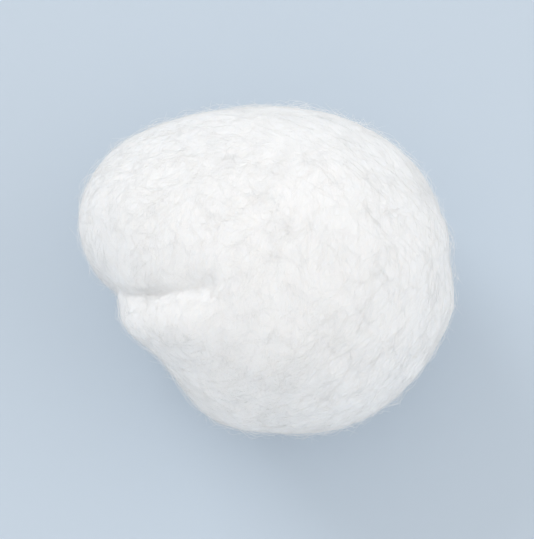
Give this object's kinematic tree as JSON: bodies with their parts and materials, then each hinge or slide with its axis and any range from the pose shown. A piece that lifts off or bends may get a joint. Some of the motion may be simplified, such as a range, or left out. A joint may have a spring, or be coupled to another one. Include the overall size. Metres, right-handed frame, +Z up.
{
  "type": "cotton ball",
  "caption": "Soft white ball of absorbent cotton, rolled from sliver, with a lap crease and a small flat spot that it rests on.",
  "frame": {"origin": "middle of the ball's footprint, at the height of the flat spot that it rests on", "axes": "+X along the roll axis, away from the lap's tuck; -Y towards the side below the lap's crease; +Z up"},
  "size_m": [0.0282, 0.0246, 0.0247],
  "materials": {
    "cotton": "bleached absorbent cotton, matt, with a smooth close surface and little loose fuzz"
  },
  "bodies": {
    "root": {"cotton_ball": "cotton"}
  },
  "joints": []
}
